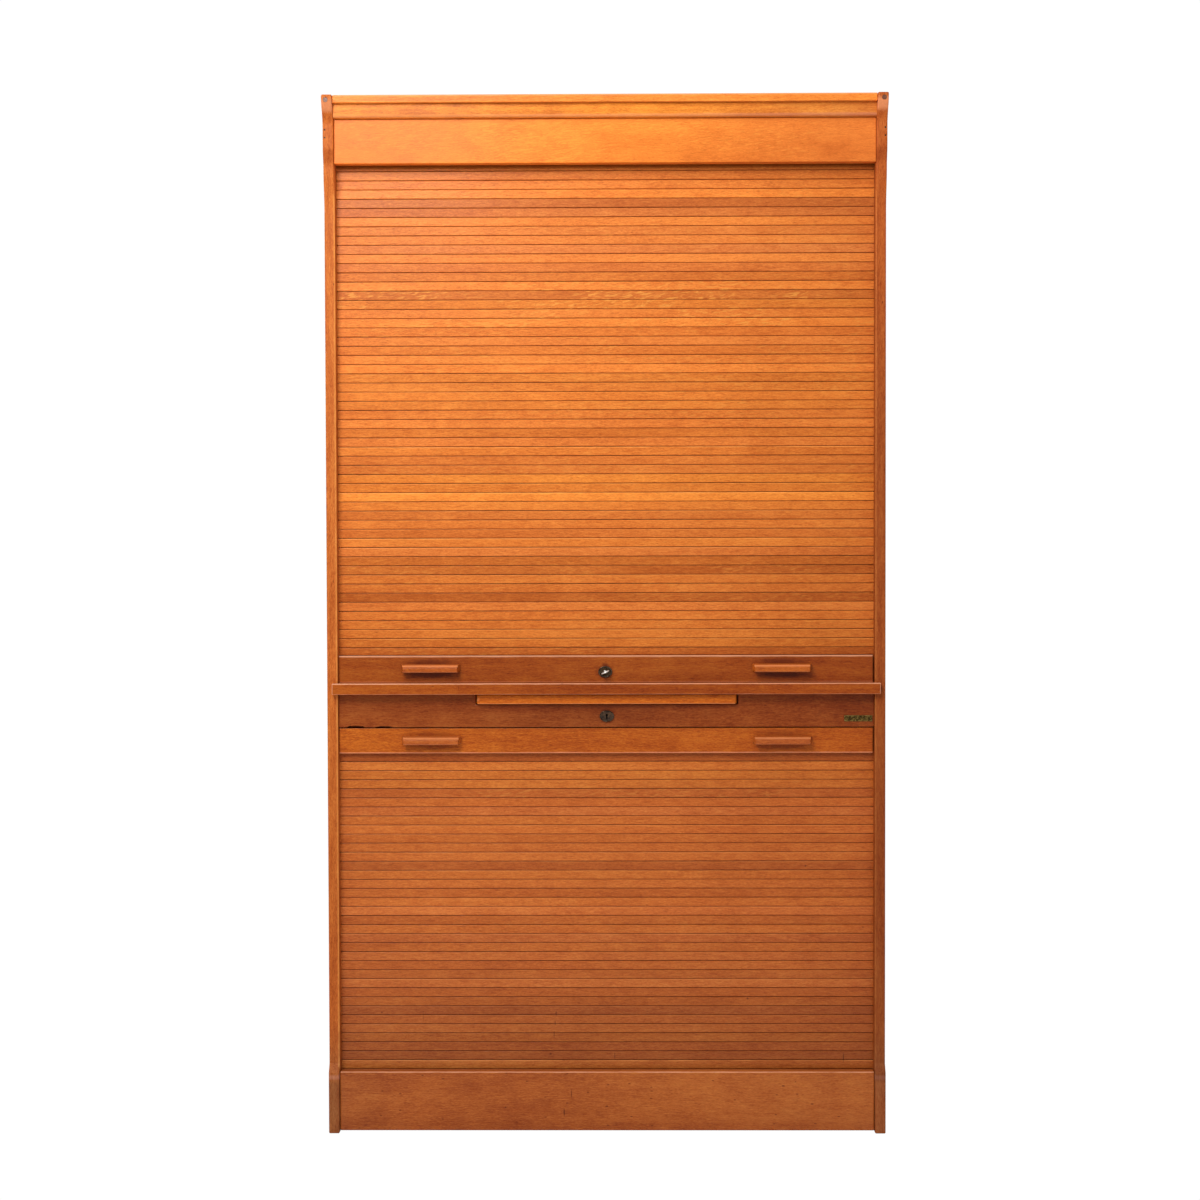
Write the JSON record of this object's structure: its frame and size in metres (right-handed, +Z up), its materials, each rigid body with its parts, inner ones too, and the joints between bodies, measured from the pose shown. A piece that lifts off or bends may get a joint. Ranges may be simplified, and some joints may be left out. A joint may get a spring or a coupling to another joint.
{
  "type": "tall roll-front desk cabinet",
  "caption": "Tall wooden cabinet with an upper and a lower sliding slatted roll shutter, a projecting worktop edge, a pull-out writing slide, batten grips, keyed locks and a plinth.",
  "frame": {"origin": "floor level, centre of the overall bounding box's footprint", "axes": "+Z up (height), +Y towards the back, front faces -Y, +X to the right as seen from the front"},
  "size_m": [1.08, 0.46, 2],
  "materials": {
    "brass": "aged satin",
    "bronze": "dark patinated",
    "plywood": "thin unfinished plywood",
    "steel": "nickelled, satin",
    "wood_header": "oiled, light orange-brown",
    "wood_inside": "plain inside faces, satin",
    "wood_plinth": "oiled, with knocks and scuffs",
    "wood_rails": "oiled, reddish brown",
    "wood_side": "oiled, warm orange-brown, straight vertical grain",
    "wood_slats_lower": "oiled slats, darker than the upper ones",
    "wood_slats_upper": "oiled slats, each a slightly different tone",
    "wood_slide": "oiled, lighter orange"
  },
  "bodies": {
    "carcass": {"back_panel": "plywood", "bottom_panel": "wood_inside", "cleat_lower_1_left": "wood_inside", "cleat_lower_1_right": "wood_inside", "cleat_upper_1_left": "wood_inside", "cleat_upper_1_right": "wood_inside", "cleat_upper_2_left": "wood_inside", "cleat_upper_2_right": "wood_inside", "cleat_upper_3_left": "wood_inside", "cleat_upper_3_right": "wood_inside", "cornice_moulding": "wood_header", "dust_panel": "plywood", "edge_plug_left": "wood_rails", "edge_plug_right": "wood_rails", "header_panel": "wood_header", "inner_back_lower": "wood_inside", "inner_back_upper": "wood_inside", "inner_top_panel": "wood_inside", "lower_escutcheon": "bronze", "lower_lock_case": "bronze", "mid_rail": "wood_rails", "nameplate": "brass", "nameplate_pin_left": "brass", "nameplate_pin_right": "brass", "panel_pin_left_1": "bronze", "panel_pin_left_2": "bronze", "panel_pin_right_1": "bronze", "panel_pin_right_2": "bronze", "plinth": "wood_plinth", "shelf_lower_1": "wood_inside", "shelf_upper_1": "wood_inside", "shelf_upper_2": "wood_inside", "shelf_upper_3": "wood_inside", "side_panel_left": "wood_side", "side_panel_right": "wood_side", "slide_guide_left": "wood_inside", "slide_guide_right": "wood_inside", "top_panel": "wood_header", "upper_strike_plate": "brass", "worktop": "wood_rails"},
    "upper_shutter": {"upper_tambour_rail": "wood_rails", "upper_tambour_curtain": "wood_slats_upper", "upper_handle_left": "wood_rails", "upper_handle_right": "wood_rails", "upper_escutcheon": "bronze", "upper_lock_case": "bronze"},
    "lower_shutter": {"lower_tambour_rail": "wood_rails", "lower_tambour_curtain": "wood_slats_lower", "lower_handle_left": "wood_rails", "lower_handle_right": "wood_rails", "lower_strike_plate": "brass"},
    "writing_slide": {"writing_slide": "wood_slide", "writing_slide_stop": "wood_slide"},
    "key": {"key": "steel"},
    "upper_bolt": {"upper_lock_bolt": "steel"},
    "lower_bolt": {"lower_lock_bolt": "steel"}
  },
  "joints": [
    {"name": "upper_shutter_slide", "type": "slide", "parent": "carcass", "child": "upper_shutter", "axis": [0, 0, 1], "range_m": [0, 0.958], "deforming": ["upper_tambour_curtain"]},
    {"name": "lower_shutter_slide", "type": "slide", "parent": "carcass", "child": "lower_shutter", "axis": [0, 0, -1], "range_m": [0, 0.615], "deforming": ["lower_tambour_curtain"]},
    {"name": "writing_slide_pull", "type": "slide", "parent": "carcass", "child": "writing_slide", "axis": [0, -1, 0], "range_m": [0, 0.3]},
    {"name": "key_turn", "type": "hinge", "parent": "upper_shutter", "child": "key", "pos_m": [-0.0013, -0.184, 0.8958], "axis": [0, -1, 0], "range_deg": [0, 90]},
    {"name": "upper_bolt_throw", "type": "slide", "parent": "upper_shutter", "child": "upper_bolt", "axis": [0, 0, 1], "range_m": [0, 0.0065]},
    {"name": "lower_bolt_throw", "type": "slide", "parent": "carcass", "child": "lower_bolt", "axis": [0, 0, -1], "range_m": [0, 0.0065]}
  ],
  "couplings": [
    {"joint": "key_turn", "follows": "upper_bolt_throw", "rad_per_m": 241.66}
  ]
}
